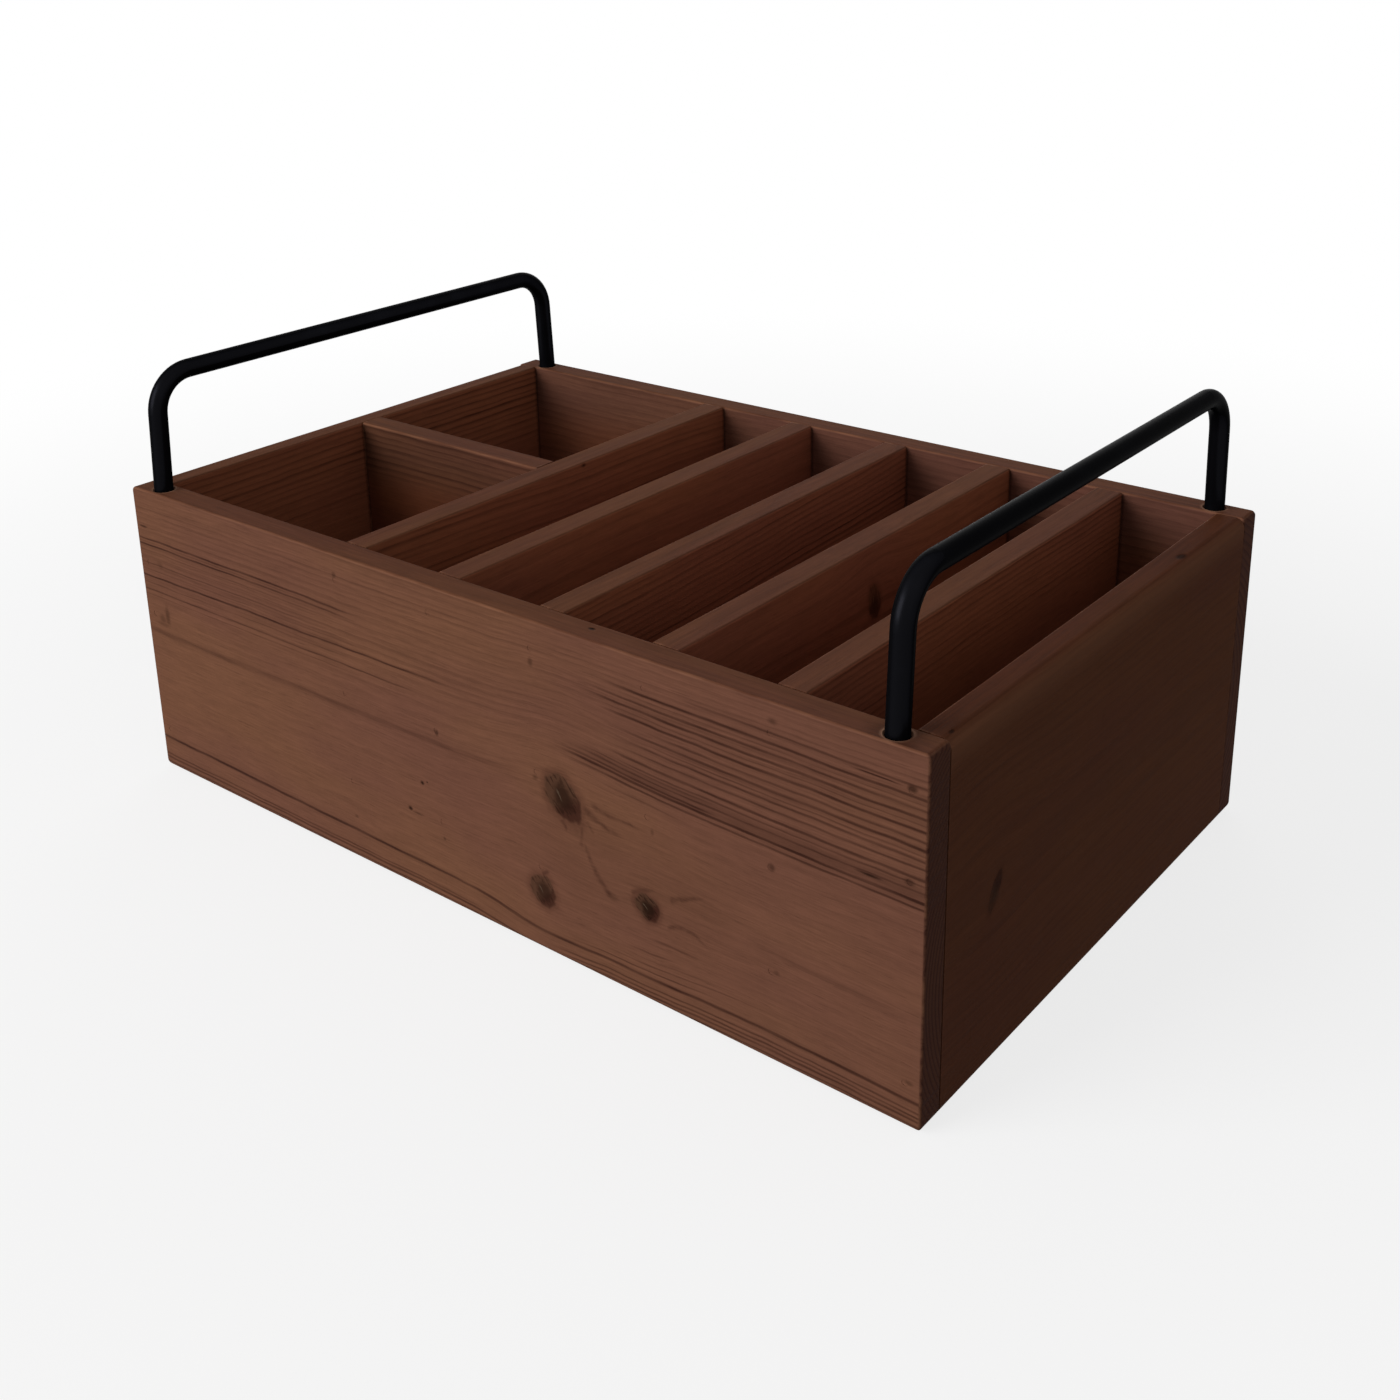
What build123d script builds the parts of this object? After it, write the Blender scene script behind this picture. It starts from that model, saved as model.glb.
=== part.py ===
from build123d import *
import os

# A wooden utensil box: four boards round a bottom panel, five cross dividers and one short
# lengthwise divider that make seven compartments, and a bent-rod handle over each end.
# Millimetres. The origin is the middle of the base, +X runs along the box, -Y is the front, +Z is up.

# Box
box_length = 398.0
box_width = 250.0
box_height = 135.0
side_thickness = 12.0
end_thickness = 12.0

# Dividers: the narrow slots fill the box from its right end, and what is left is the wide section
slot_count = 5
slot_width = 40.0
divider_thickness = 12.0
short_divider_thickness = 12.0

# Worked edges: the base all round, the long boards' tops at their ends, the rims of their outer
# faces, which run up the corners and along the top, the end boards' tops, and the inner rims
base_round = 3.5
rim_end_round = 2.0
face_round = 1.0
end_rim_round = 4.0
edge_ease = 1.0

# Bottom panel, let into the lower edges of the boards and flush with them
panel_thickness = 6.0
panel_seat = 6.0
panel_clearance = 0.2

# Handles: round rod, its legs in blind bores in the tops of the long boards
rod_diameter = 8.0
handle_inset = 15.0
bar_rise = 49.5
bend_radius = 17.0
leg_depth = 30.0
leg_stub = 2.0
leg_lean = 2.4
lean_radius = 30.0
leg_end_chamfer = 0.8
leg_clearance = 0.1
bore_mouth = 0.6

# Nails through the boards, their heads set a hair below the surface
nail_diameter = 1.6
nail_head_diameter = 2.2
nail_head_length = 1.2
nail_length = 30.0
nail_set = 0.1
nail_clearance = 0.05

# Brads that hold the bottom panel from below
brad_diameter = 1.2
brad_head_diameter = 2.0
brad_head_length = 0.8
brad_length = 16.0
brad_set = 0.4

# Heights of the nails as shares of the box height, and places of the brads as shares of their run
divider_nail_shares = (0.27, 0.56, 0.92)
left_corner_nail_shares = (0.15, 0.57, 0.75)
right_corner_nail_shares = (0.13, 0.67, 0.90)
short_nail_shares = (0.25, 0.55, 0.85)
long_edge_brad_shares = (-0.38, -0.13, 0.13, 0.38)
end_edge_brad_shares = (-0.33, 0.0, 0.33)
divider_brad_shares = (-0.3, 0.3)

half_length = box_length / 2
half_width = box_width / 2
inner_length = box_length - 2 * end_thickness
inner_width = box_width - 2 * side_thickness
divider_height = box_height - panel_thickness
divider_pitch = slot_width + divider_thickness
last_divider = half_length - end_thickness - slot_width - divider_thickness / 2
divider_places = [last_divider - step * divider_pitch for step in reversed(range(slot_count))]
wide_start = -half_length + end_thickness
wide_end = divider_places[0] - divider_thickness / 2
wide_length = wide_end - wide_start
wide_middle = (wide_start + wide_end) / 2
panel_length = inner_length + 2 * (panel_seat - panel_clearance)
panel_width = inner_width + 2 * (panel_seat - panel_clearance)
handle_places = {"left": -half_length + handle_inset, "right": half_length - handle_inset}
leg_place = half_width - side_thickness / 2
end_nail_place = half_length - end_thickness / 2

FROM_TOP = (Align.CENTER, Align.CENTER, Align.MAX)
ON_FLOOR = (Align.CENTER, Align.CENTER, Align.MIN)


def side_face(side):
    """Outer face of the front (-1) or back (+1) board, its local X along the box and Y up."""
    return Plane((0, side * half_width, 0), x_dir=(-side, 0, 0), z_dir=(0, side, 0))


def heights(shares):
    return [share * box_height for share in shares]


def corner_nails(side, end):
    """Places on a long board's outer face of the nails into the left (-1) or right (+1) end board."""
    shares = left_corner_nail_shares if end < 0 else right_corner_nail_shares
    return [(-side * end * end_nail_place, height) for height in heights(shares)]


def divider_nails(side, place):
    """Places on a long board's outer face of the nails into the cross divider at that place."""
    return [(-side * place, height) for height in heights(divider_nail_shares)]


left_end_face = Plane((-half_length, 0, 0), x_dir=(0, -1, 0), z_dir=(-1, 0, 0))
first_divider_face = Plane((wide_end + divider_thickness, 0, 0), x_dir=(0, 1, 0), z_dir=(1, 0, 0))
short_nails = [(0, height) for height in heights(short_nail_shares)]
base_face = Plane((0, 0, 0), x_dir=(1, 0, 0), z_dir=(0, 0, -1))
edge_brads = [
    (share * box_length, side * (inner_width + panel_seat) / 2)
    for share in long_edge_brad_shares
    for side in (-1, 1)
] + [
    (end * (inner_length + panel_seat) / 2, share * box_width)
    for share in end_edge_brad_shares
    for end in (-1, 1)
]
cross_brads = [(place, share * inner_width) for place in divider_places for share in divider_brad_shares]
short_brads = [(wide_middle + share * wide_length, 0) for share in divider_brad_shares]


def nail_holes(face, places):
    """Cuts the holes of nails that are driven into a face."""
    with Locations(face):
        with Locations(*places):
            CounterBoreHole(
                nail_diameter / 2 + nail_clearance,
                nail_head_diameter / 2 + nail_clearance,
                nail_set + nail_head_length,
                depth=nail_set + nail_length,
            )


def brad_holes(places):
    """Cuts the holes of brads that are driven up into the base."""
    with Locations(base_face):
        with Locations(*[(x, -y) for x, y in places]):
            CounterBoreHole(
                brad_diameter / 2 + nail_clearance,
                brad_head_diameter / 2 + nail_clearance,
                brad_set + brad_head_length,
                depth=brad_set + brad_length,
            )


def nail_group(name, drives):
    """Writes a group of nails, each a head on a shank; drives pairs a face with places on it."""
    with BuildPart() as nails:
        for face, places in drives:
            with Locations(face):
                with Locations(*[(x, y, -nail_set) for x, y in places]):
                    Cylinder(nail_diameter / 2, nail_length, align=FROM_TOP)
                    Cylinder(nail_head_diameter / 2, nail_head_length, align=FROM_TOP)
    nails.part.label = name
    export_step(nails.part, f"parts/{name}.step")


def brad_group(name, places):
    """Writes a group of panel brads."""
    with BuildPart() as brads:
        with Locations(base_face):
            with Locations(*[(x, -y, -brad_set) for x, y in places]):
                Cylinder(brad_diameter / 2, brad_length, align=FROM_TOP)
                Cylinder(brad_head_diameter / 2, brad_head_length, align=FROM_TOP)
    brads.part.label = name
    export_step(brads.part, f"parts/{name}.step")


def long_board(name, side):
    """Front (-1) or back (+1) board: full length, bored for the handles and rebated for the panel."""
    outer = 0 if side < 0 else -1
    inner = -1 - outer
    with BuildPart() as board:
        with Locations((0, side * (half_width - side_thickness / 2), 0)):
            Box(box_length, side_thickness, box_height, align=ON_FLOOR)
        base_ends = board.edges().filter_by(Axis.Y).group_by(Axis.Z)[0]
        base_front = board.edges().filter_by(Axis.X).group_by(Axis.Z)[0].sort_by(Axis.Y)[outer]
        fillet([*base_ends, base_front], base_round)
        fillet(board.edges().filter_by(Axis.Y).group_by(Axis.Z)[-1], rim_end_round)
        fillet(board.edges().filter_by(Axis.Z).group_by(Axis.Y)[outer], face_round)
        fillet(board.edges().filter_by(Axis.X).group_by(Axis.Z)[-1].sort_by(Axis.Y)[inner], edge_ease)
        with Locations((0, side * inner_width / 2, 0)):
            Box(
                inner_length + 2 * panel_seat,
                2 * panel_seat,
                panel_thickness,
                align=ON_FLOOR,
                mode=Mode.SUBTRACT,
            )
        for end in (-1, 1):
            nail_holes(side_face(side), corner_nails(side, end))
        for place in divider_places:
            nail_holes(side_face(side), divider_nails(side, place))
        brad_holes(edge_brads)
        with Locations(*[(place, side * leg_place, box_height) for place in handle_places.values()]):
            bore_radius = rod_diameter / 2 + leg_clearance
            Hole(bore_radius, depth=leg_depth)
            Cone(bore_radius, bore_radius + bore_mouth, bore_mouth, align=FROM_TOP, mode=Mode.SUBTRACT)
    board.part.label = name
    export_step(board.part, f"parts/{name}.step")


def end_board(name, end):
    """Left (-1) or right (+1) end board, between the long boards."""
    outer = 0 if end < 0 else -1
    inner = -1 - outer
    with BuildPart() as board:
        with Locations((end * (half_length - end_thickness / 2), 0, 0)):
            Box(end_thickness, inner_width, box_height, align=ON_FLOOR)
        fillet(board.edges().filter_by(Axis.Y).group_by(Axis.Z)[0].sort_by(Axis.X)[outer], base_round)
        fillet(board.edges().filter_by(Axis.Y).group_by(Axis.Z)[-1].sort_by(Axis.X)[outer], end_rim_round)
        fillet(board.edges().filter_by(Axis.Y).group_by(Axis.Z)[-1].sort_by(Axis.X)[inner], edge_ease)
        with Locations((end * inner_length / 2, 0, 0)):
            Box(2 * panel_seat, inner_width, panel_thickness, align=ON_FLOOR, mode=Mode.SUBTRACT)
        for side in (-1, 1):
            nail_holes(side_face(side), corner_nails(side, end))
        if end < 0:
            nail_holes(left_end_face, short_nails)
        brad_holes(edge_brads)
    board.part.label = name
    export_step(board.part, f"parts/{name}.step")


def cross_divider(name, place):
    """Divider from the front board to the back board, standing on the bottom panel."""
    with BuildPart() as divider:
        with Locations((place, 0, panel_thickness)):
            Box(divider_thickness, inner_width, divider_height, align=ON_FLOOR)
        fillet(divider.edges().filter_by(Axis.Y).group_by(Axis.Z)[-1], edge_ease)
        for side in (-1, 1):
            nail_holes(side_face(side), divider_nails(side, place))
        if place == divider_places[0]:
            nail_holes(first_divider_face, short_nails)
        brad_holes([brad for brad in cross_brads if brad[0] == place])
    divider.part.label = name
    export_step(divider.part, f"parts/{name}.step")


def handle(name, place):
    """Rod bent into a U across the box; each leg leans in a little above the rim."""
    foot = box_height - leg_depth
    bar = box_height + bar_rise
    bar_end = leg_place - leg_lean
    with BuildPart() as rod:
        with BuildLine():
            FilletPolyline(
                (place, -leg_place, foot),
                (place, -leg_place, box_height + leg_stub),
                (place, -bar_end, bar),
                (place, bar_end, bar),
                (place, leg_place, box_height + leg_stub),
                (place, leg_place, foot),
                radius=[lean_radius, bend_radius, bend_radius, lean_radius],
            )
        with BuildSketch(Plane((place, -leg_place, foot))):
            Circle(rod_diameter / 2)
        sweep()
        chamfer(rod.edges().group_by(Axis.Z)[0], leg_end_chamfer)
    rod.part.label = name
    export_step(rod.part, f"parts/{name}.step")


os.makedirs("parts", exist_ok=True)

long_board("front_board", -1)
long_board("back_board", 1)
end_board("left_end_board", -1)
end_board("right_end_board", 1)

with BuildPart() as bottom_panel:
    Box(panel_length, panel_width, panel_thickness, align=ON_FLOOR)
    brad_holes(edge_brads + cross_brads + short_brads)
bottom_panel.part.label = "bottom_panel"
export_step(bottom_panel.part, "parts/bottom_panel.step")

for number, place in enumerate(divider_places, start=1):
    cross_divider(f"cross_divider_{number}", place)

with BuildPart() as short_divider:
    with Locations((wide_middle, 0, panel_thickness)):
        Box(wide_length, short_divider_thickness, divider_height, align=ON_FLOOR)
    fillet(short_divider.edges().filter_by(Axis.X).group_by(Axis.Z)[-1], edge_ease)
    nail_holes(left_end_face, short_nails)
    nail_holes(first_divider_face, short_nails)
    brad_holes(short_brads)
short_divider.part.label = "short_divider"
export_step(short_divider.part, "parts/short_divider.step")

for name, place in handle_places.items():
    handle(f"{name}_handle", place)

for side_name, side in (("front", -1), ("back", 1)):
    for end_name, end in (("left", -1), ("right", 1)):
        nail_group(f"{side_name}_{end_name}_corner_nails", [(side_face(side), corner_nails(side, end))])

for number, place in enumerate(divider_places, start=1):
    drives = [(side_face(side), divider_nails(side, place)) for side in (-1, 1)]
    nail_group(f"cross_divider_{number}_nails", drives)

nail_group("short_divider_outer_nails", [(left_end_face, short_nails)])
nail_group("short_divider_inner_nails", [(first_divider_face, short_nails)])
brad_group("panel_edge_brads", edge_brads)
brad_group("panel_divider_brads", cross_brads + short_brads)
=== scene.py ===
import functools
import math
from collections import namedtuple

import bpy
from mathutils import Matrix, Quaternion, Vector


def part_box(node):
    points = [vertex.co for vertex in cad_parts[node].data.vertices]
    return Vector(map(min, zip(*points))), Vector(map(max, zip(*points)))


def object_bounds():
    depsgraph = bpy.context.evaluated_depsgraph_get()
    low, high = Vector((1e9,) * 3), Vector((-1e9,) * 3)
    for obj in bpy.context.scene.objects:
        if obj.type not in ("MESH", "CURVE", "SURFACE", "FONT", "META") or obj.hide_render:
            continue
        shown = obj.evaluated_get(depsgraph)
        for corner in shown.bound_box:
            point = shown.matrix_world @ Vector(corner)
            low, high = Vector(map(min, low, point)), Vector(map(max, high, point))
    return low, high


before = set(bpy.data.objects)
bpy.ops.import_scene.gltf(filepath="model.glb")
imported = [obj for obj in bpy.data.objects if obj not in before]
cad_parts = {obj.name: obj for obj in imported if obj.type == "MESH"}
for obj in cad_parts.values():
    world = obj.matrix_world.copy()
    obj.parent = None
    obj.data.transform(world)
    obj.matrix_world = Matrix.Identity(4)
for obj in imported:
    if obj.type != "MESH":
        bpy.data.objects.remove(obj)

cad_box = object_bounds()

# Sizes of the box in millimetres, read from its pieces
METRE = 1000.0
HIGH = cad_box[1] * METRE
front_low, front_high = [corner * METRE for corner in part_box("front_board")]
handle_low, handle_high = [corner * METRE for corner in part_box("right_handle")]
WALL = front_high.y - front_low.y
RIM = front_high.z
INNER_X = HIGH.x - WALL
INNER_Y = HIGH.y - WALL
ROD = handle_high.x - handle_low.x
LEG_X = (handle_low.x + handle_high.x) / 2
LEG_Y = handle_high.y - ROD / 2

# Colours of the wood, the coating and the steel, as seen on a screen in plain light
STAIN_GOLD = (117, 79, 59)
STAIN_RED = (112, 74, 59)
STAIN_DARK = (60, 35, 27)
END_GRAIN = (68, 41, 34)
# A pale colour for worn edges, also used for painted light and painted highlights
WEAR_AND_PAINTED_LIGHT = (140, 96, 72)
KNOT_RIM = (80, 49, 38)
KNOT_WOOD = (77, 52, 39)
KNOT_HEART = (62, 34, 26)
KNOT_BARK = (33, 18, 11)
KNOT_SPLIT = (120, 102, 84)
BORE_LIP = (150, 112, 90)
BLACK_COAT = (18, 18, 21)
COAT_RUB = (28, 29, 34)
BRAD_STEEL = (92, 84, 78)
BRAD_RUST = (70, 46, 34)

# Tints over those: painted light, brighter and redder, on faces inside the box, and painted shade on top
# faces
PAINTED_INSIDE_LIGHT = (1.45, 1.1, 0.94, 1.0)
PAINTED_TOP_SHADE = (0.715, 0.635, 0.58, 1.0)

# Waves of the wood's patterns to a millimetre: along the grain, up the board and through it
DRIFT = (0.007, 0.013, 0.013)
RIPPLE = (0.05, 0.09, 0.09)
WOBBLE = (0.14, 0.14, 0.14)
PATCH = (0.007, 0.03, 0.03)
TONE = (0.008, 0.022, 0.05)
MOTTLE = (0.05, 0.11, 0.11)
STRAND = (0.022, 0.45, 0.45)
DASH = (0.05, 0.35, 0.35)
GRIT = (0.45, 0.45, 0.45)
FIBRE = (0.07, 1.5, 1.5)
PORE = (0.11, 2.1, 2.1)

# The middle of noise, which goes from 0 to 1
MIDDLE = 0.5

# Depths below the rim in millimetres, where something starts and where it is full
RIM_TOP = (0.55, 0.2)
INSIDE_TOP = (0.2, 0.6)
DEEP_INSIDE = (10.0, 40.0)
PAINTED_LIGHT_TOP = (14.0, 2.0)
RIM_SPOT_TOP = (3.0, 1.0)
BORE_LIP_TOP = (1.0, 0.3)

# Distances in millimetres from an edge, a wall, a corner or an end, in the same way
EDGE_REACH = (1.1, 0.3)
WALL_REACH = (0.8, 0.2)
CORNER_REACH = (1.5, 0.2)
END_REACH = (1.0, 0.4)

# Marks on a board, in millimetres from its left or front end and from the base of the box, or for deep
# from the board's middle; lean is in degrees, and push and dark are shares
Knot = namedtuple("Knot", "along up long short lean push dark")
Streak = namedtuple("Streak", "start start_up stop stop_up half dark")
Crack = namedtuple("Crack", "start start_up stop stop_up bow half dark")
Fleck = namedtuple("Fleck", "along up half_along half_up dark")
RimSpot = namedtuple("RimSpot", "along deep half_along half_deep dark")


# The curve of screen colours: where its straight start ends, how steep that is, and the rest
SCREEN_START = 0.04045
SCREEN_SLOPE = 12.92
SCREEN_OFFSET = 0.055
SCREEN_POWER = 2.4


def linear_light(share):
    """A screen's share of a colour as linear light."""
    if share <= SCREEN_START:
        return share / SCREEN_SLOPE
    return ((share + SCREEN_OFFSET) / (1 + SCREEN_OFFSET)) ** SCREEN_POWER


def paint(colour):
    """A screen colour of 0 to 255 as linear light."""
    return (*[linear_light(value / 255) for value in colour], 1.0)


class Wire:
    """A socket of a node. Sums, products and powers of wires add Math nodes to the same tree."""

    def __init__(self, tree, socket=None):
        self.tree = tree
        self.socket = socket

    def node(self, kind, settings=(), sockets=(), out=0):
        """Adds any node: its settings first, then the values or links of its sockets."""
        made = self.tree.nodes.new(kind)
        for name, value in dict(settings).items():
            setattr(made, name, value)
        for key, value in dict(sockets).items():
            if isinstance(value, Wire):
                self.tree.links.new(value.socket, made.inputs[key])
            else:
                made.inputs[key].default_value = value
        return Wire(self.tree, made.outputs[out]) if made.outputs else None

    def beside(self, out):
        """Another output of the node that this wire comes from."""
        return Wire(self.tree, self.socket.node.outputs[out])

    def math(self, operation, *values):
        return self.node("ShaderNodeMath", {"operation": operation}, enumerate(values))

    def __add__(self, other):
        return self.math("ADD", self, other)

    def __sub__(self, other):
        return self.math("SUBTRACT", self, other)

    def __rsub__(self, other):
        return self.math("SUBTRACT", other, self)

    def __mul__(self, other):
        return self.math("MULTIPLY", self, other)

    def __truediv__(self, other):
        return self.math("DIVIDE", self, other)

    def __pow__(self, other):
        return self.math("POWER", self, other)

    def __abs__(self):
        return self.math("ABSOLUTE", self)

    __radd__ = __add__
    __rmul__ = __mul__


def lowest(one, other):
    return one.math("MINIMUM", one, other)


def highest(one, other):
    return one.math("MAXIMUM", one, other)


def distance(one, other):
    return (one * one + other * other) ** 0.5


def bell(value):
    """1 where the value is 0, falling smoothly to 0 by about 2 on either side."""
    return value.math("EXPONENT", value * value * -1.0)


def rise(value, low, high):
    """0 at low, 1 at high and a smooth step between them; low may be the greater."""
    return value.node(
        "ShaderNodeMapRange",
        {"interpolation_type": "SMOOTHSTEP", "clamp": False},
        {"Value": value, "From Min": low, "From Max": high},
    )


def spread(value, least, more):
    """Least where the value is 0, and that much more where it is 1."""
    return least + more * value


def below_rim(wires, depths):
    """0 at the first of two depths below the rim, and 1 at the second."""
    start, full = depths
    return rise(wires["Z"], RIM - start, RIM - full)


# Sockets of a Mix node that mixes colours
MIX_SHARE = 0
MIX_UNDER = 6
MIX_OVER = 7
MIX_OUT = 2


def blend(under, over, share, way="MIX"):
    """One colour over another."""
    wire = next(value for value in (under, over, share) if isinstance(value, Wire))
    sockets = {MIX_SHARE: share, MIX_UNDER: under, MIX_OVER: over}
    return wire.node("ShaderNodeMix", {"data_type": "RGBA", "blend_type": way}, sockets, out=MIX_OUT)


def vector(x, y, z):
    return x.node("ShaderNodeCombineXYZ", (), {0: x, 1: y, 2: z})


def cloud(place, waves, detail=2.0, rough=0.5):
    """Noise from 0 to 1; waves says how many there are to a millimetre on each axis."""
    scaled = place.node("ShaderNodeVectorMath", {"operation": "MULTIPLY"}, {0: place, 1: waves})
    return place.node(
        "ShaderNodeTexNoise",
        {"noise_dimensions": "3D"},
        {"Vector": scaled, "Scale": 1.0, "Detail": detail, "Roughness": rough},
    )


def new_material(name):
    """A material with no shader yet, and the wires of its object coordinates in millimetres."""
    material = bpy.data.materials.new(name)
    material.use_nodes = True
    material.node_tree.nodes.clear()
    metres = Wire(material.node_tree).node("ShaderNodeTexCoord", out="Object")
    place = metres.node("ShaderNodeVectorMath", {"operation": "SCALE"}, {0: metres, "Scale": METRE})
    x = place.node("ShaderNodeSeparateXYZ", (), {0: place})
    return material, place, {"X": x, "Y": x.beside("Y"), "Z": x.beside("Z")}


def close_material(colour, roughness, height, depth, constants):
    """The shader at the end of a material; depth is its bump's in millimetres, and constants are the
    sockets that are the same all over."""
    bump = colour.node("ShaderNodeBump", (), {"Height": height, "Distance": depth / METRE, "Strength": 1.0})
    varied = {"Base Color": colour, "Roughness": roughness, "Normal": bump}
    shader = colour.node("ShaderNodeBsdfPrincipled", (), {**varied, **constants})
    colour.node("ShaderNodeOutputMaterial", (), {"Surface": shader})


def finish_node(node, material):
    """Puts a material on a CAD node."""
    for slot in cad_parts[node].material_slots:
        slot.material = material


# Marks in the wood

# Grain: how far apart the boards take their noise, how high ripples are and how far a knot bends it
SEED_STEP = 97.0
RIPPLE_HEIGHT = 1.2
PARTED_ALONG = 28.0
PARTED_UP = 34.0

# Years of growth: how unevenly they follow each other, and where in a year its late wood darkens and ends
UNEVEN_WAVES = 0.13
UNEVEN_YEARS = 0.9
LATE_WOOD = (0.35, 0.86)
LATE_EDGE = (1.0, 0.92)

# Lines: the share and inner edge of their core, and the share and width of their halo
LineProfile = namedtuple("LineProfile", "core core_edge halo halo_half")
STREAK_PROFILE = LineProfile(core=0.9, core_edge=0.15, halo=0.1, halo_half=3.0)
STREAK_FADE = 24.0
STREAK_FADE_SHARE = 0.4
CRACK_PROFILE = LineProfile(core=0.25, core_edge=0.2, halo=0.75, halo_half=2.3)
CRACK_WANDER = 2.4
CRACK_TAPER = (1.3, 0.7)
CRACK_BREAKS = (0.75, 1.2)
CRACK_START = (-0.05, 0.08)
CRACK_STOP = (1.05, 0.6)

# Specks: how ragged they are, and where their edges start and are full
SPECK_RAGGED = 0.9
FLECK_EDGE = (1.35, 0.2)
RIM_SPOT_EDGE = (1.2, 0.35)

# Knots, in shares of their size: coarse and fine raggedness, and where each part starts and is full
KNOT_RAGGED = (0.6, 0.2)
KNOT_EDGE = (1.08, 0.82)
RING_REACH = 1.05
RING_WIDTH = 0.25
CORE_RAGGED = (0.4, 0.3)
CORE_EDGE = (0.75, 0.3)
CORE_ASIDE = 0.05
VEIN_WAVES = (1.4, 5.0, 1.5)
VEIN_GRIT = 0.12
VEIN_EDGE = (0.5, 0.62)
RED_RAGGED = 0.8
RED_SIDE = (0.0, 0.5)
SPLIT_BEND = 0.4
SPLIT_ASIDE = 0.15
SPLIT_BELOW = 0.12
SPLIT_WIDTH = (0.07, 0.02)
SPLIT_LENGTH = (0.32, 0.1)

# How strongly the parts of a knot colour it: the wood and the heart of a pale knot, and more in a dark one
WOOD_SHARE = (0.4, 0.55)
HEART_SHARE = (0.3, 0.6)
RING_SHARE = 0.5
VEIN_SHARE = 0.8
BARK_SHARE = 0.85
SPLIT_SHARE = 0.4


def line_share(aside, half, profile):
    """How dark a line is at a distance from its middle: a core in a soft halo."""
    core = profile.core * rise(aside, half, profile.core_edge * half)
    return core + profile.halo * rise(aside, profile.halo_half * half, 0.0)


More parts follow.
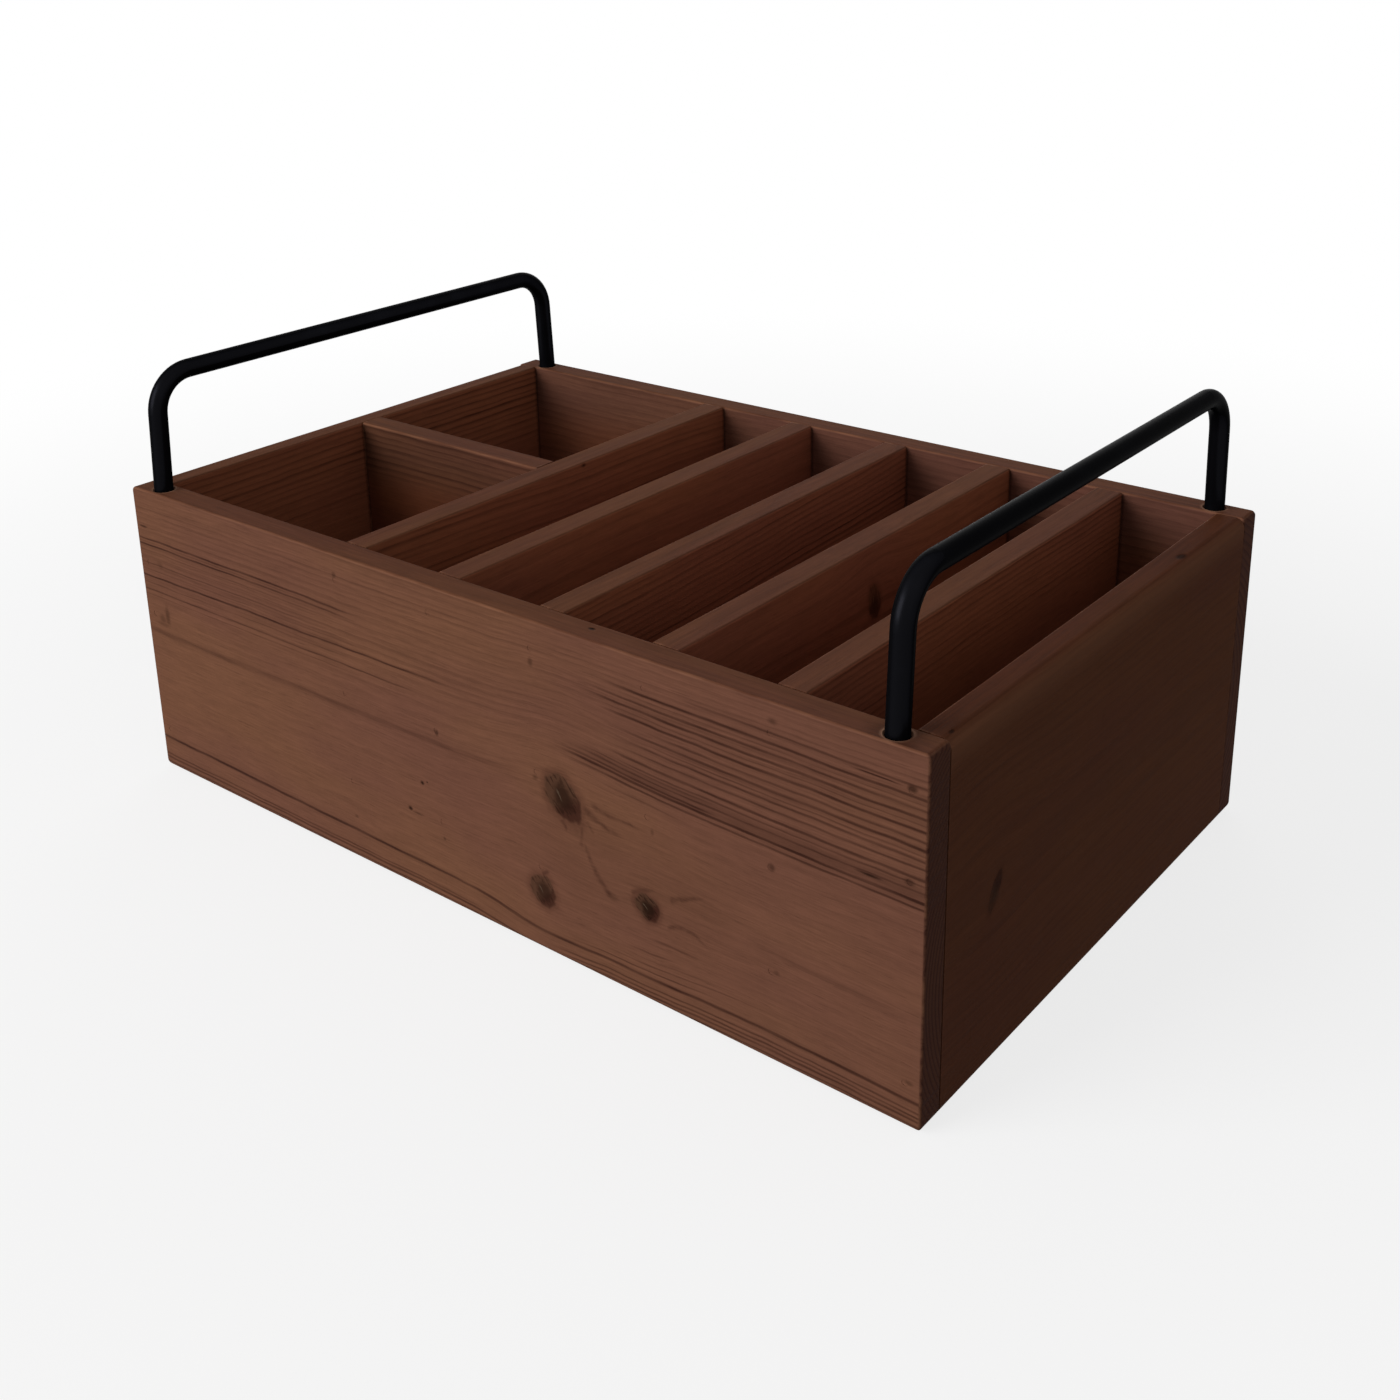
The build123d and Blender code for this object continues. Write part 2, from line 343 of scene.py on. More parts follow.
class Board:
    """The wires of one board in millimetres: along its grain, up it and through it, with the height
    that its grain has flowed from at each place."""

    def __init__(self, name, low, high, axes, seed, sway, tilt):
        along, _, deep = ["XYZ".index(letter) for letter in axes]
        self.material, _, self.wires = new_material(name)
        self.along = self.wires[axes[0]] - low[along]
        self.up = self.wires[axes[1]]
        self.deep = self.wires[axes[2]] - (low[deep] + high[deep]) / 2
        self.far = self.along + SEED_STEP * seed
        still = vector(self.far, self.up, self.deep)
        self.wobble = cloud(still, WOBBLE) - MIDDLE
        self.grit = cloud(still, GRIT) - MIDDLE
        drift = cloud(still, DRIFT, rough=0.4) - MIDDLE
        ripple = cloud(still, RIPPLE) - MIDDLE
        self.flow = self.up + drift * (2 * sway) + ripple * RIPPLE_HEIGHT + self.along * tilt

    def part_grain(self, knot):
        """Bends the flow of the grain round a knot."""
        above = self.up - knot.up
        across = (self.along - knot.along) / PARTED_ALONG
        self.flow = self.flow - above * bell(distance(across, above / PARTED_UP)) * knot.push

    def years(self, heart, pitch, seed):
        """The late wood of the years of growth, which darkens to a sharp edge, and each year's vigour."""
        reach = distance(self.flow - heart[0], self.deep - heart[1])
        steps = {"W": reach * UNEVEN_WAVES + seed, "Scale": 1.0}
        uneven = reach.node("ShaderNodeTexNoise", {"noise_dimensions": "1D"}, steps)
        years = reach / pitch + uneven * UNEVEN_YEARS
        phase, year = years.math("FRACT", years), years.math("FLOOR", years)
        vigour = year.node("ShaderNodeTexWhiteNoise", {"noise_dimensions": "1D"}, {"W": year + seed})
        return rise(phase, *LATE_WOOD) * rise(phase, *LATE_EDGE), vigour

    def ragged(self, value, coarse, fine):
        """A value made uneven by the board's coarse and fine noise."""
        return value + self.wobble * coarse + self.grit * fine

    def streak(self, mark):
        """A dark line of late wood that follows the grain and fades at its ends."""
        slope = (mark.stop_up - mark.start_up) / (mark.stop - mark.start)
        level = self.along * slope + (mark.start_up - slope * mark.start)
        line = line_share(abs(self.flow - level), mark.half, STREAK_PROFILE)
        fade = min(STREAK_FADE, STREAK_FADE_SHARE * (mark.stop - mark.start))
        begins = rise(self.along, mark.start, mark.start + fade)
        ends = rise(self.along, mark.stop, mark.stop - fade)
        return line * begins * ends * mark.dark

    def crack(self, mark):
        """A soft dark line that runs away from a knot, bowed, unsteady and thinner at its end."""
        run, climb = mark.stop - mark.start, mark.stop_up - mark.start_up
        length = math.hypot(run, climb)
        across, above = self.along - mark.start, self.up - mark.start_up
        share = (across * run + above * climb) / length**2
        aside = (above * run - across * climb) / length
        # The bow is 0 at both ends and full half way
        bowed = abs(aside - share * (1 - share) * (4 * mark.bow) + self.wobble * CRACK_WANDER)
        wide, loss = CRACK_TAPER
        line = line_share(bowed / (wide - loss * share), mark.half, CRACK_PROFILE)
        rough = spread(self.grit, *CRACK_BREAKS)
        return line * rough * rise(share, *CRACK_START) * rise(share, *CRACK_STOP) * mark.dark

    def fleck(self, mark):
        """A small dark dent or speck of resin on a face of the board."""
        across = (self.along - mark.along) / mark.half_along
        above = (self.up - mark.up) / mark.half_up
        return rise(distance(across, above) + self.wobble * SPECK_RAGGED, *FLECK_EDGE) * mark.dark

    def rim_spot(self, mark):
        """A small dark speck on the top edge of the board."""
        across = (self.along - mark.along) / mark.half_along
        through = (self.deep - mark.deep) / mark.half_deep
        spot = rise(distance(across, through) + self.wobble * SPECK_RAGGED, *RIM_SPOT_EDGE)
        return spot * below_rim(self.wires, RIM_SPOT_TOP) * mark.dark

    def knot(self, mark, colour):
        """Colours a knot: brown wood that is redder on its right, a dark ring and middle, veins along it
        and a short pale split."""
        lean = math.radians(mark.lean)
        across, above = self.along - mark.along, self.up - mark.up
        long_way = (across * math.cos(lean) - above * math.sin(lean)) / mark.long
        short_way = (across * math.sin(lean) + above * math.cos(lean)) / mark.short
        reach = self.ragged(distance(long_way, short_way), *KNOT_RAGGED)
        core = self.ragged(distance(long_way - CORE_ASIDE, short_way), *CORE_RAGGED)
        veins = cloud(vector(long_way, short_way, reach), VEIN_WAVES) + self.grit * VEIN_GRIT
        inside = rise(reach, *KNOT_EDGE)
        red = rise(long_way + self.wobble * RED_RAGGED, *RED_SIDE)
        dark = highest(rise(core, *CORE_EDGE), rise(veins, *VEIN_EDGE) * VEIN_SHARE)
        seam = rise(abs(short_way + (veins - MIDDLE) * SPLIT_BEND + SPLIT_BELOW), *SPLIT_WIDTH)
        split = seam * rise(abs(long_way + SPLIT_ASIDE), *SPLIT_LENGTH)
        ring = bell((reach - RING_REACH) / RING_WIDTH)
        colour = blend(colour, paint(KNOT_RIM), ring * RING_SHARE * mark.dark)
        colour = blend(colour, paint(KNOT_WOOD), inside * spread(mark.dark, *WOOD_SHARE))
        colour = blend(colour, paint(KNOT_HEART), inside * red * spread(mark.dark, *HEART_SHARE))
        colour = blend(colour, paint(KNOT_BARK), inside * dark * BARK_SHARE * mark.dark)
        return blend(colour, paint(KNOT_SPLIT), inside * split * SPLIT_SHARE * mark.dark)


# Stained pine

# How dark the grain is: by the year, in patches, in broken lines, less on the rim; then pores and corners
YEAR_SHARE = (0.35, 0.65)
PATCH_LEAST = 0.3
BAND_BREAKS = (0.4, 1.2)
LINE_BREAKS = (0.3, 1.6)
RIM_LOSS = 0.6
PORE_EDGE = (0.64, 0.74)
PORE_DARK = 0.22
CORNER_DARK = 0.45

# Where the tone turns red, and how far the patterns change lightness; strands do more on the rim
RED_TONE = (0.32, 0.68)
STRAND_LIGHT = (0.4, 0.5)
FIBRE_LIGHT = 0.6
MOTTLE_LIGHT = 0.12
GRIT_LIGHT = 0.1

# End grain with its rings, and light lips round the bores, their gap and width in millimetres
END_SHARE = (0.7, 0.3)
LIP_GAP = 0.9
LIP_WIDTH = 0.6
LIP_PATCHES = (0.3, 0.6)
LIP_SHARE = 0.7

# Painted light on an outer top edge, in wall shares; edge wear with a painted highlight on a front or left
# face
PAINTED_LIGHT_FACE = (0.3, 0.49)
WEAR_AND_HIGHLIGHT_PATCHES = (0.7, 1.25)
HIGHLIGHT_SIDE = (1.0, -3.0)
HIGHLIGHT_SIDE_SHARE = (0.15, 0.85)
WEAR_AND_HIGHLIGHT_SHARE = 0.55

# Relief in shares of its depth, which is in millimetres
GRAIN_DEPTH = 0.09
FIBRE_RELIEF = 0.6
BAND_RELIEF = 0.7
PORE_RELIEF = 0.3
SPECK_RELIEF = 3.0

# The dry stain's roughness, smoother on dark lines and rubbed edges
STAIN_ROUGH = 0.7
LINE_SMOOTH = 0.12
FIBRE_ROUGH = 0.2
RUBBED_SMOOTH = 0.1
STAIN_SPECULAR = 0.015


def edge_share(node, wires):
    """1 on the worked edges of a board, 0 about 1 mm away from them."""
    low, high = [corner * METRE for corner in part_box(node)]
    margins = []
    for letter, start, stop in zip("XYZ", low, high):
        margins.append((stop - start) / 2 - abs(wires[letter] - (start + stop) / 2))
    one, other, last = margins
    second = highest(lowest(one, other), lowest(highest(one, other), last))
    return rise(second, *EDGE_REACH)


def inside_share(wires):
    """1 on faces inside the box, below its rim."""
    start, full = WALL_REACH
    between_ends = rise(abs(wires["X"]), INNER_X + start, INNER_X + full)
    between_sides = rise(abs(wires["Y"]), INNER_Y + start, INNER_Y + full)
    return between_ends * between_sides * below_rim(wires, INSIDE_TOP)


def corner_share(letter, meeting, wires):
    """1 in the corners that a board's faces make with the ends or the faces of the boards that meet it."""
    lines = []
    for node in meeting:
        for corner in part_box(node):
            place = corner["XYZ".index(letter)] * METRE
            lines.append(rise(abs(wires[letter] - place), *CORNER_REACH))
    return functools.reduce(highest, lines)


def bore_lip_share(wires):
    """1 on the light ring round the mouth of each bore that a handle's leg stands in."""
    away = distance(abs(wires["X"]) - LEG_X, abs(wires["Y"]) - LEG_Y)
    return bell((away - ROD / 2 - LIP_GAP) / LIP_WIDTH) * below_rim(wires, BORE_LIP_TOP)


def finish_long_board(colour, wires, late, mottle):
    """Adds the end grain of a long board, and the lips of the bores in its top edge."""
    start, full = END_REACH
    end_grain = rise(abs(wires["X"]), HIGH.x - start, HIGH.x - full)
    # End grain takes more stain, and its colour is also darkened as painted shade, like the shaded right end
    # board
    colour = blend(colour, paint(END_GRAIN), end_grain * spread(late, *END_SHARE))
    lip = bore_lip_share(wires) * rise(mottle, *LIP_PATCHES) * LIP_SHARE
    return blend(colour, paint(BORE_LIP), lip)


def pine(
    node, axes, heart, pitch, contrast, sway, seed,
    tint=None, inside=None, deep=None, tilt=0.0, plain=None, painted_top_light=0.0, meeting=(), marks=(),
):
    """Stained pine sawn from a log. Axes names the directions along the grain, up and through the
    board; heart is the log's middle, as a height and a depth from the board's middle plane; pitch is
    a year's growth; sway is how far the grain wanders; tint changes the whole board's colour as painted
    shade; inside changes that of its faces in the box as painted light and shade, and deep that of the
    same faces lower down, redder as painted light; plain gives the heights between which lines appear;
    worn is how far painted light pales its outer top edge; meeting names the boards whose ends or faces
    mark its dark corners; marks are the board's own."""
    low, high = [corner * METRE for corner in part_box(node)]
    board = Board(node + "_pine", low, high, axes, seed, sway, tilt)
    wires = board.wires
    knots = [mark for mark in marks if isinstance(mark, Knot)]
    for knot in knots:
        board.part_grain(knot)
    rim = below_rim(wires, RIM_TOP)

    # Rings of growth, which show in patches and in broken lines
    grain = vector(board.far, board.flow, board.deep)
    late, vigour = board.years(heart, pitch, seed)
    dash = cloud(grain, DASH)
    band = late * spread(vigour, *YEAR_SHARE) * (PATCH_LEAST + cloud(grain, PATCH, detail=1))
    band = band * spread(dash, *BAND_BREAKS) * (1.0 - RIM_LOSS * rim) * contrast
    if plain:
        band = band * rise(board.flow, *plain)

    # Fibres, pores and tone
    fibre = cloud(grain, FIBRE, detail=3, rough=0.6)
    strand = cloud(grain, STRAND, detail=4, rough=0.65)
    mottle = cloud(grain, MOTTLE)
    tone = cloud(grain, TONE)
    pores = rise(cloud(grain, PORE, detail=1), *PORE_EDGE)

    # The board's own lines, cracks and specks
    lines = highest(band, pores * PORE_DARK)
    broken = spread(dash, *LINE_BREAKS)
    specks = []
    if meeting:
        specks.append(corner_share(axes[0], meeting, wires) * inside_share(wires) * CORNER_DARK)
    for mark in marks:
        if isinstance(mark, Streak):
            lines = highest(lines, board.streak(mark) * broken)
        elif isinstance(mark, Crack):
            lines = highest(lines, board.crack(mark))
        elif isinstance(mark, Fleck):
            specks.append(board.fleck(mark))
        elif isinstance(mark, RimSpot):
            specks.append(board.rim_spot(mark))

    # The stain, from the bare face to its wear
    colour = blend(paint(STAIN_GOLD), paint(STAIN_RED), rise(tone, *RED_TONE))
    colour = blend(colour, paint(STAIN_DARK), lines)
    light = 1.0 + spread(rim, *STRAND_LIGHT) * (strand - MIDDLE) + FIBRE_LIGHT * (fibre - MIDDLE)
    light = light + MOTTLE_LIGHT * (mottle - MIDDLE) + GRIT_LIGHT * board.grit
    colour = blend(colour, light, 1.0, "MULTIPLY")
    for knot in knots:
        colour = board.knot(knot, colour)
    height = fibre * FIBRE_RELIEF - band * BAND_RELIEF - pores * PORE_RELIEF
    if specks:
        speck = functools.reduce(highest, specks)
        colour = blend(colour, paint(KNOT_BARK), speck)
        height = height - speck * SPECK_RELIEF
    # Painted shade over the whole board, where a tint is given
    if tint:
        colour = blend(colour, tint, 1.0, "MULTIPLY")
    # Painted shade on the top faces
    colour = blend(colour, PAINTED_TOP_SHADE, rim, "MULTIPLY")
    if node in LONG_BOARDS:
        colour = finish_long_board(colour, wires, late, mottle)
    # Painted light and shade on the faces inside the box, redder lower down where deep is given
    if inside:
        shade = blend(inside, deep or inside, below_rim(wires, DEEP_INSIDE))
        colour = blend(colour, shade, inside_share(wires), "MULTIPLY")
    # Painted light, paling the outer face and its rounding just below the top edge
    if painted_top_light:
        start, full = PAINTED_LIGHT_FACE
        painted_top_light_share = rise(board.deep, start * WALL, full * WALL) * below_rim(wires, PAINTED_LIGHT_TOP)
        colour = blend(colour, paint(WEAR_AND_PAINTED_LIGHT), painted_top_light_share * painted_top_light)
    # Wear on sharp edges, with a painted highlight that makes it stronger on a front or left face, towards
    # the key lamp
    rubbed = edge_share(node, wires) * rise(strand + mottle, *WEAR_AND_HIGHLIGHT_PATCHES)
    rubbed = rubbed * spread(rise(board.deep, *HIGHLIGHT_SIDE), *HIGHLIGHT_SIDE_SHARE)
    colour = blend(colour, paint(WEAR_AND_PAINTED_LIGHT), rubbed * WEAR_AND_HIGHLIGHT_SHARE)

    roughness = STAIN_ROUGH - LINE_SMOOTH * lines + FIBRE_ROUGH * (fibre - MIDDLE) - RUBBED_SMOOTH * rubbed
    close_material(colour, roughness, height, GRAIN_DEPTH, {"Specular IOR Level": STAIN_SPECULAR})
    finish_node(node, board.material)
    return board.material


# How boards lie: the axes along the grain, up and through them
ACROSS = "YZX"
LENGTHWISE = "XZY"
FLAT = "XYZ"

# Boards that are treated alike
LONG_BOARDS = ["front_board", "back_board"]
DIVIDERS = [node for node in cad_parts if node.startswith("cross_divider") and node[-1].isdigit()]
ENDS = ["left_end_board", "right_end_board"]

# Lines that run off an end of the front board start or stop well past it, so that they don't fade there
PAST_LEFT = -40
PAST_RIGHT = 440

# The front board's knots, lines, cracks and specks, one by one
front_marks = [
    Knot(along=248.5, up=69.4, long=10.0, short=7.9, lean=52.0, push=0.25, dark=0.85),
    Knot(along=236.6, up=26.6, long=6.9, short=6.1, lean=50.0, push=0.27, dark=0.75),
    Knot(along=287.0, up=39.6, long=5.9, short=5.0, lean=35.0, push=0.14, dark=1.0),
    Streak(PAST_LEFT, 112.1, 150, 111.9, 0.75, 0.74),
    Streak(PAST_LEFT, 109.3, 146, 109.6, 0.7, 0.68),
    Streak(PAST_LEFT, 110.6, 120, 110.8, 0.5, 0.3),
    Streak(PAST_LEFT, 106.4, 140, 106.8, 0.5, 0.3),
    Streak(PAST_LEFT, 103.6, 120, 104.2, 0.5, 0.26),
    Streak(PAST_LEFT, 100.6, 130, 101.4, 0.55, 0.34),
    Streak(PAST_LEFT, 97.6, 160, 98.8, 0.5, 0.3),
    Streak(PAST_LEFT, 94.3, 200, 96.6, 0.75, 0.74),
    Streak(PAST_LEFT, 91.0, 150, 92.4, 0.5, 0.3),
    Streak(PAST_LEFT, 88.0, 185, 88.6, 0.6, 0.56),
    Streak(PAST_LEFT, 85.6, 150, 86.2, 0.45, 0.3),
    Streak(PAST_LEFT, 68.3, 235, 70.4, 1.9, 0.34),
    Streak(PAST_LEFT, 16.2, PAST_RIGHT, 11.2, 1.05, 0.76),
    Streak(PAST_LEFT, 7.2, 210, 6.4, 0.6, 0.5),
    Streak(PAST_LEFT, 5.4, PAST_RIGHT, 5.0, 0.75, 0.6),
    Streak(PAST_LEFT, 3.2, PAST_RIGHT, 3.0, 0.6, 0.6),
    Streak(232, 9.0, PAST_RIGHT, 8.0, 0.6, 0.56),
    Streak(236, 7.0, PAST_RIGHT, 6.4, 0.6, 0.56),
    Streak(240, 15.0, 320, 16.0, 0.5, 0.5),
    Streak(262, 17.6, 345, 19.4, 0.5, 0.45),
    Streak(270, 20.2, 330, 21.4, 0.4, 0.3),
    Streak(274, 23.0, 304, 23.8, 0.6, 0.6),
    Streak(284, 29.2, 312, 28.4, 0.9, 0.5),
    Streak(318, 44.6, 400, 41.6, 1.6, 0.16),
    Streak(230, 103.0, 470, 102.0, 9.0, 0.05),
    Streak(226, 50.0, 336, 48.0, 26.0, 0.12),
    Streak(296, 124.6, PAST_RIGHT, 123.0, 0.75, 0.6),
    Streak(262, 121.2, PAST_RIGHT, 119.4, 0.9, 0.72),
    Streak(268, 119.2, PAST_RIGHT, 117.6, 0.5, 0.36),
    Streak(254, 117.4, PAST_RIGHT, 115.8, 0.8, 0.66),
    Streak(252, 114.6, PAST_RIGHT, 112.8, 0.9, 0.72),
    Streak(258, 112.4, PAST_RIGHT, 110.6, 0.5, 0.4),
    Streak(262, 110.4, PAST_RIGHT, 108.4, 0.9, 0.72),
    Streak(284, 107.0, PAST_RIGHT, 105.2, 0.75, 0.56),
    Streak(266, 104.6, PAST_RIGHT, 102.5, 0.9, 0.7),
    Streak(274, 102.4, PAST_RIGHT, 100.6, 0.5, 0.4),
    Streak(270, 100.6, PAST_RIGHT, 98.8, 0.8, 0.64),
    Streak(270, 97.4, PAST_RIGHT, 96.2, 0.7, 0.56),
    Streak(262, 94.2, PAST_RIGHT, 92.2, 0.9, 0.68),
    Streak(244, 88.0, PAST_RIGHT, 87.2, 5.2, 0.32),
    Streak(248, 90.6, 330, 89.8, 0.7, 0.56),
    Streak(262, 91.6, PAST_RIGHT, 90.2, 0.7, 0.54),
    Streak(246, 88.8, PAST_RIGHT, 88.0, 0.8, 0.66),
    Streak(242, 87.0, 330, 86.2, 0.9, 0.76),
    Streak(240, 85.4, PAST_RIGHT, 84.6, 1.0, 0.82),
    Streak(244, 83.2, PAST_RIGHT, 82.2, 0.8, 0.66),
    Streak(262, 79.4, 312, 78.2, 0.6, 0.34),
    Streak(368, 122.7, 392, 122.3, 0.45, 1.0),
    Crack(262.0, 70.9, 291.0, 69.8, -0.8, 0.8, 0.6),
    Crack(258.0, 69.2, 279.0, 63.6, -1.6, 1.3, 0.66),
    Crack(259.6, 63.8, 263.4, 58.8, 0.0, 1.0, 0.45),
    Crack(270.0, 37.0, 256.8, 58.0, 1.6, 1.3, 0.7),
    Crack(256.4, 52.4, 258.6, 62.6, 0.2, 0.9, 0.5),
    Crack(247.8, 60.4, 250.4, 55.6, 0.4, 1.1, 0.7),
    Crack(279.6, 42.4, 293.0, 47.8, 1.2, 1.0, 0.55),
    Crack(297.0, 46.2, 315.0, 53.6, 0.6, 1.1, 0.7),
    Crack(295.6, 35.0, 315.4, 32.4, 3.4, 1.1, 0.64),
    Crack(236.6, 33.2, 241.0, 36.2, 0.4, 1.2, 0.7),
    Fleck(270.6, 37.4, 3.2, 2.0, 0.3),
    Fleck(290.2, 70.4, 1.0, 1.6, 0.3),
    Fleck(174.0, 50.0, 1.1, 0.9, 0.9),
    Fleck(176.8, 51.2, 0.5, 0.5, 0.6),
    Fleck(166.0, 36.1, 1.3, 1.0, 0.9),
    Fleck(170.2, 35.2, 3.4, 0.6, 0.45),
    Fleck(132.4, 20.6, 1.4, 0.9, 0.35),
    Fleck(184.5, 29.2, 0.8, 0.8, 0.4),
    Fleck(11.2, 75.6, 2.6, 2.4, 0.34),
    Fleck(15.2, 77.8, 2.0, 5.2, 0.46),
    Fleck(10.8, 73.2, 6.2, 1.2, 0.3),
    Fleck(14.3, 101.5, 2.2, 1.8, 0.22),
    Fleck(392.2, 122.1, 2.0, 1.2, 0.7),
    Fleck(391.9, 90.2, 2.2, 1.4, 0.5),
    Fleck(377.4, 87.3, 4.6, 0.6, 0.9),
    Fleck(5.5, 117.6, 3.0, 0.6, 0.7),
    Fleck(235.4, 73.0, 1.6, 1.2, 0.4),
    Fleck(131.8, 126.1, 1.4, 1.4, 0.42),
    Fleck(184.3, 74.8, 1.2, 1.6, 0.6),
    Fleck(236.0, 118.8, 1.3, 1.9, 0.45),
    Fleck(341.0, 128.4, 2.2, 1.2, 0.45),
    Fleck(340.6, 75.9, 1.4, 1.7, 0.5),
    Fleck(342.4, 36.8, 1.6, 1.2, 0.36),
    Fleck(393.4, 18.0, 1.8, 1.0, 0.36),
    RimSpot(258.9, 1.8, 1.7, 1.1, 1.0),
    # A broad darker patch on the rim round the right handle's leg: the leg's painted shadow
    RimSpot(384.0, 0.0, 14.0, 8.0, 0.3),
]
divider_1_marks = [Fleck(125.0, 133.6, 1.8, 1.1, 0.8)]
divider_4_marks = [Knot(along=119.6, up=110.5, long=7.5, short=4.6, lean=80.0, push=0.3, dark=0.7)]
right_end_marks = [
    Knot(along=31.0, up=67.0, long=7.5, short=3.2, lean=-62.0, push=0.25, dark=0.5),
    RimSpot(174.8, 1.8, 3.4, 1.8, 0.8),
    RimSpot(5.0, 3.0, 2.2, 0.8, 0.8),
]

front_pine = pine(
    "front_board", LENGTHWISE, heart=(48, 70), pitch=1.9, contrast=0.4, sway=0.8, seed=1,
    plain=(62, 104), marks=front_marks,
)
# The back board's faces inside the box are darkened as painted shade, and turn redder lower down as painted
# light
back_pine = pine(
    "back_board", LENGTHWISE, heart=(60, -48), pitch=3.0, contrast=0.38, sway=3, seed=2,
    inside=(0.78, 0.76, 0.82, 1.0), deep=(1.0, 0.78, 0.7, 1.0), meeting=DIVIDERS + ENDS,
)
# The end boards get painted light, brighter and redder, on their faces inside the box
left_pine = pine(
    "left_end_board", ACROSS, heart=(20, -46), pitch=2.8, contrast=1.0, sway=2, seed=3, inside=PAINTED_INSIDE_LIGHT,
    plain=(90, 112), meeting=["left_end_board", "short_divider"],
)
# The right end board is darkened all over as painted shade, with painted light on its outer top edge; inside
# the box it gets painted light like the others
pine(
    "right_end_board", ACROSS, heart=(70, 55), pitch=2.4, contrast=0.28, sway=2, seed=4,
    tint=(0.645, 0.545, 0.475, 1.0), inside=PAINTED_INSIDE_LIGHT, painted_top_light=0.35,
    meeting=["right_end_board"], marks=right_end_marks,
)
# Each divider gets the same painted light on its faces inside the box
divider_1_pine = pine(
    "cross_divider_1", ACROSS, heart=(-30, 30), pitch=3.3, contrast=0.6, sway=4, seed=5, inside=PAINTED_INSIDE_LIGHT,
    tilt=0.03, meeting=["cross_divider_1"], marks=divider_1_marks,
)
pine(
    "cross_divider_2", ACROSS, heart=(90, 40), pitch=4.6, contrast=0.25, sway=4, seed=6, inside=PAINTED_INSIDE_LIGHT,
    meeting=["cross_divider_2"],
)
pine(
    "cross_divider_3", ACROSS, heart=(10, 26), pitch=2.7, contrast=0.9, sway=4, seed=7, inside=PAINTED_INSIDE_LIGHT,
    tilt=-0.04, meeting=["cross_divider_3"],
)
pine(
    "cross_divider_4", ACROSS, heart=(80, 36), pitch=4.6, contrast=0.35, sway=5, seed=8, inside=PAINTED_INSIDE_LIGHT,
    meeting=["cross_divider_4"], marks=divider_4_marks,
)
pine(
    "cross_divider_5", ACROSS, heart=(40, 40), pitch=2.4, contrast=0.75, sway=2, seed=9, inside=PAINTED_INSIDE_LIGHT,
    plain=(98, 118), meeting=["cross_divider_5"],
)
# The short divider's faces inside the box are darkened as painted shade, and turn redder lower down as
# painted light
pine(
    "short_divider", LENGTHWISE, heart=(40, 40), pitch=2.7, contrast=0.9, sway=2, seed=10,
    inside=(0.62, 0.58, 0.56, 1.0), deep=(0.8, 0.56, 0.46, 1.0), plain=(98, 118),
    meeting=["short_divider"],
)
pine("bottom_panel", FLAT, heart=(0, 160), pitch=3.2, contrast=0.4, sway=14, seed=11)


# The handles' coating: a fine skin, and a haze of rubbed dust
SKIN_WAVES = (1.6, 1.6, 1.6)
SKIN_DEPTH = 0.015
SKIN_ROUGH = 0.06
HAZE_WAVES = (0.05, 0.05, 0.05)
HAZE_EDGE = (0.5, 0.85)
HAZE_SHARE = 0.5
HAZE_ROUGH = 0.1
COAT_ROUGH = 0.24
COAT_GLOSS = {"Metallic": 0.6, "Specular IOR Level": 0.01, "Specular Tint": (0.0, 0.0, 0.0, 1.0)}

# The brads' steel and its rust
RUST_WAVES = (0.8, 0.8, 0.8)
RUST_EDGE = (0.45, 0.7)
RUST_DEPTH = 0.04
STEEL_ROUGH = (0.45, 0.4)
STEEL_SPECULAR = 0.2


def black_coat():
    """Satin black coating on the handle rods, with a fine skin and a little rubbed dust."""
    material, place, _ = new_material("handle_black_coat")
    skin = cloud(place, SKIN_WAVES)
    haze = cloud(place, HAZE_WAVES, detail=3)
    colour = blend(paint(BLACK_COAT), paint(COAT_RUB), rise(haze, *HAZE_EDGE) * HAZE_SHARE)
    roughness = COAT_ROUGH + HAZE_ROUGH * haze + SKIN_ROUGH * skin
    close_material(colour, roughness, skin, SKIN_DEPTH, COAT_GLOSS)
    return material


def brad_steel():
    """Bare heads of the brads under the base, with spots of rust."""
    material, place, _ = new_material("brad_steel")
    spots = cloud(place, RUST_WAVES, detail=3)
    colour = blend(paint(BRAD_STEEL), paint(BRAD_RUST), rise(spots, *RUST_EDGE))
    roughness = spread(spots, *STEEL_ROUGH)
    close_material(colour, roughness, spots, RUST_DEPTH, {"Specular IOR Level": STEEL_SPECULAR})
    return material


# Nail heads are filled and stained over, so they wear the pine of their board; a divider's nails are in both
# long boards, and wear that of the front one
coat, steel = black_coat(), brad_steel()
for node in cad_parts:
    if node.endswith("_handle"):
        finish_node(node, coat)
    elif node.endswith("_brads"):
        finish_node(node, steel)
    elif node.endswith("_nails"):
        finish_node(node, back_pine if node.startswith("back") else front_pine)
finish_node("short_divider_outer_nails", left_pine)
finish_node("short_divider_inner_nails", divider_1_pine)


# Studio, in metres, watts and degrees, with the lens and its sensor in millimetres

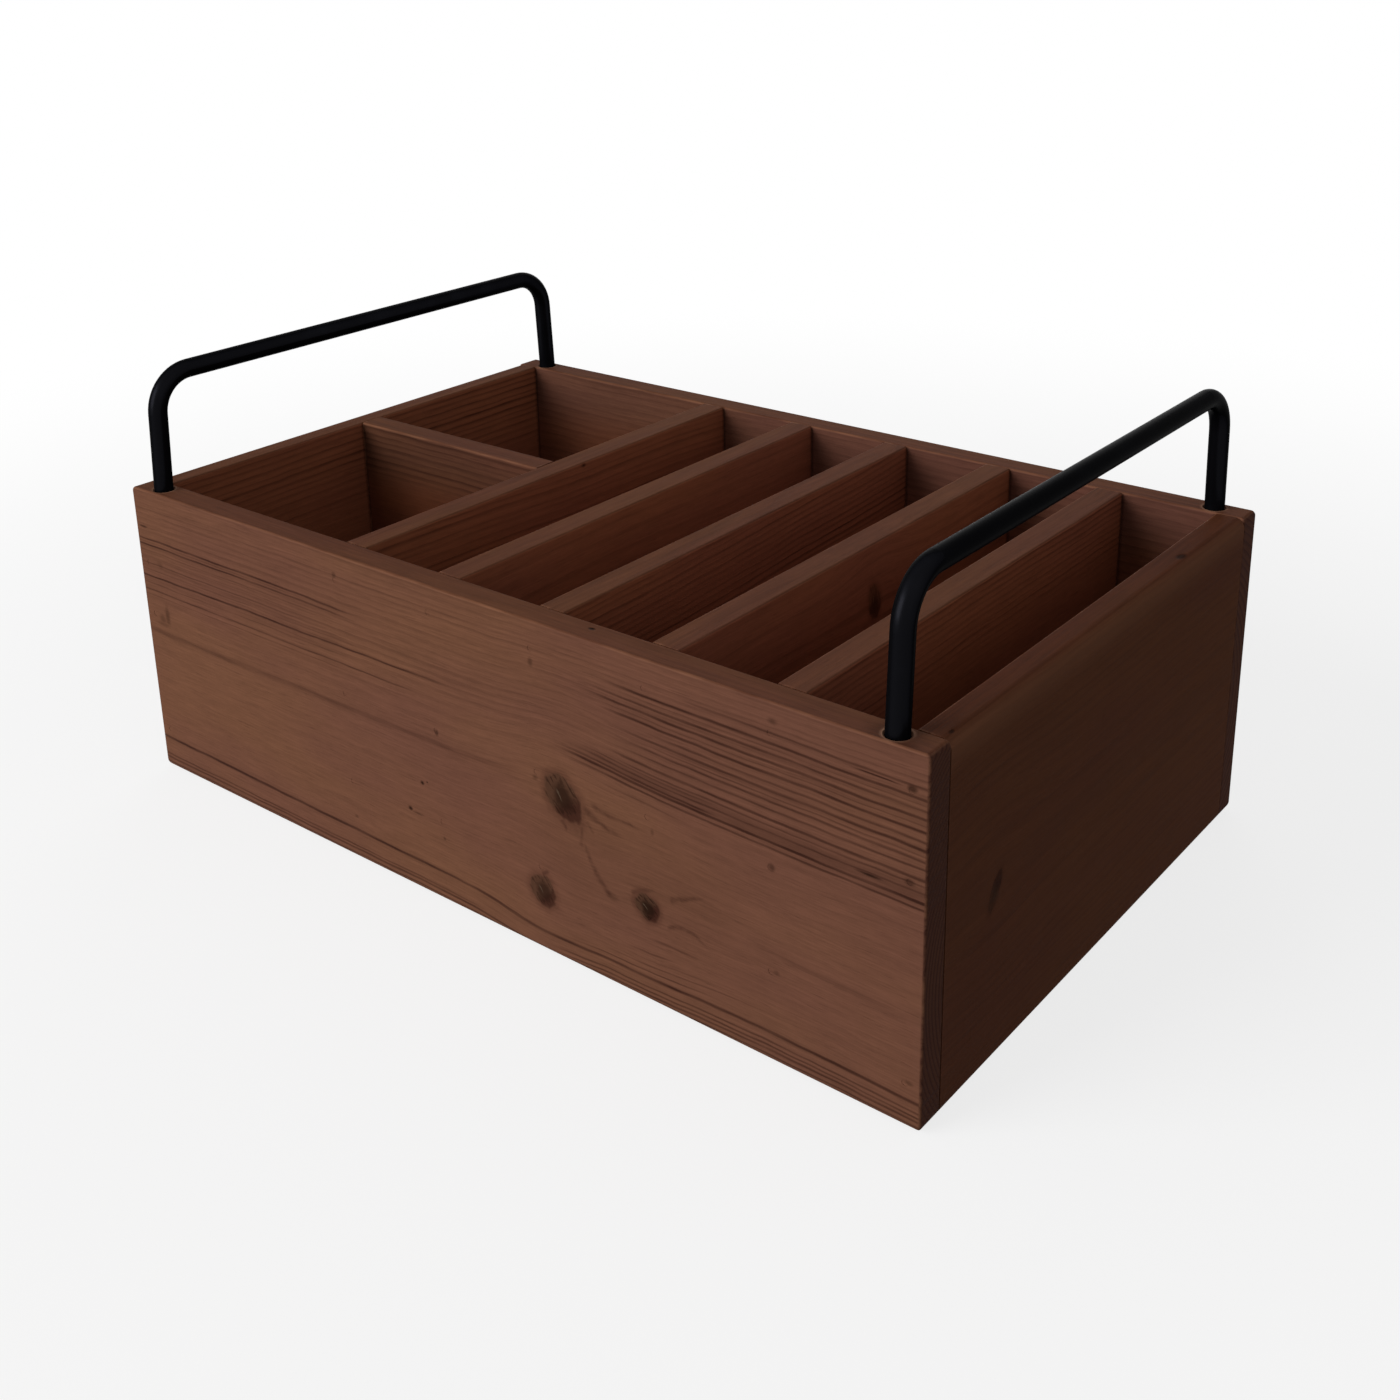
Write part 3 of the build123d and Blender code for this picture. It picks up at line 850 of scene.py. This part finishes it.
FLOOR_SIZE = 24.0
FLOOR_DROP = 0.0002
FLOOR_GREY = 0.12
FLOOR_WHITE = 0.9
SHADOW_SHARE = 0.22
SHADOW_REACH = (0.9, 0.3)
AMBIENT = 0.30
Lamp = namedtuple("Lamp", "way far size power")
LAMPS = {
    "key_lamp": Lamp(way=(-0.45, -0.8, 0.34), far=4.0, size=2.6, power=141.0),
    "back_lamp": Lamp(way=(-0.45, 0.86, 0.22), far=2.8, size=2.0, power=18.0),
    "right_lamp": Lamp(way=(0.75, -0.3, 0.5), far=2.8, size=2.2, power=4.0),
}
CAMERA_PLACE = (0.4220, -0.50721, 0.37676)
CAMERA_WAY = (-0.59374, 0.73929, -0.31768)
CAMERA_ROLL = -1.05
CAMERA_LENS = 43.52
CAMERA_SENSOR = 36.0
CAMERA_SHIFT = -0.1786
WHITE = (1.0, 1.0, 1.0, 1.0)


def grey(level):
    return (level, level, level, 1.0)


def seen_rays(tree):
    """1 for rays that show the floor or the sky by themselves, and 0 for those that light the box."""
    path = tree.node("ShaderNodeLightPath", out="Is Camera Ray")
    return highest(highest(path, path.beside("Is Glossy Ray")), path.beside("Is Transmission Ray"))


def studio_floor():
    """A pale floor: white to look at, with the box's soft shadow, and grey as a source of light."""
    bpy.ops.object.select_all(action="DESELECT")
    bpy.ops.mesh.primitive_plane_add(size=FLOOR_SIZE, location=(0.0, 0.0, -FLOOR_DROP))
    floor = bpy.context.active_object
    floor.name = "studio_floor"
    material, place, wires = new_material("floor_white")
    away = distance(wires["X"], wires["Y"]) / METRE
    shadow = SHADOW_SHARE * rise(away, *SHADOW_REACH)
    pale = place.node("ShaderNodeBsdfDiffuse", (), {"Color": grey(FLOOR_WHITE)})
    dull = place.node("ShaderNodeBsdfDiffuse", (), {"Color": grey(FLOOR_GREY)})
    white = place.node("ShaderNodeEmission", (), {"Color": WHITE, "Strength": 1.0})
    seen = place.node("ShaderNodeMixShader", (), {0: shadow, 1: white, 2: pale})
    both = place.node("ShaderNodeMixShader", (), {0: seen_rays(place), 1: dull, 2: seen})
    place.node("ShaderNodeOutputMaterial", (), {"Surface": both})
    floor.data.materials.append(material)


def studio_sky():
    """Even light from all round, white where it is seen."""
    world = bpy.data.worlds.new("studio_sky")
    world.use_nodes = True
    world.node_tree.nodes.clear()
    tree = Wire(world.node_tree)
    light = tree.node("ShaderNodeBackground", (), {"Color": WHITE, "Strength": AMBIENT})
    white = tree.node("ShaderNodeBackground", (), {"Color": WHITE, "Strength": 1.0})
    both = tree.node("ShaderNodeMixShader", (), {0: seen_rays(tree), 1: light, 2: white})
    tree.node("ShaderNodeOutputWorld", (), {"Surface": both})
    bpy.context.scene.world = world


def soft_lamp(name, lamp):
    """A square soft lamp that faces the middle of the box."""
    light = bpy.data.lights.new(name, "AREA")
    light.size, light.energy = lamp.size, lamp.power
    stand = bpy.data.objects.new(name, light)
    way = Vector(lamp.way).normalized()
    stand.location = (cad_box[0] + cad_box[1]) / 2 + way * lamp.far
    stand.rotation_mode = "QUATERNION"
    stand.rotation_quaternion = way.to_track_quat("Z", "Y")
    bpy.context.scene.collection.objects.link(stand)


def photo_camera():
    """The photograph's view of the box, from its front right corner and above."""
    lens = bpy.data.cameras.new("photo_camera")
    lens.lens, lens.sensor_width, lens.shift_y = CAMERA_LENS, CAMERA_SENSOR, CAMERA_SHIFT
    camera = bpy.data.objects.new("photo_camera", lens)
    camera.location = CAMERA_PLACE
    camera.rotation_mode = "QUATERNION"
    roll = Quaternion((0.0, 0.0, 1.0), math.radians(CAMERA_ROLL))
    camera.rotation_quaternion = Vector(CAMERA_WAY).to_track_quat("-Z", "Y") @ roll
    bpy.context.scene.collection.objects.link(camera)
    bpy.context.scene.camera = camera


studio_floor()
studio_sky()
for name, lamp in LAMPS.items():
    soft_lamp(name, lamp)
photo_camera()
bpy.context.scene.view_settings.view_transform = "Standard"
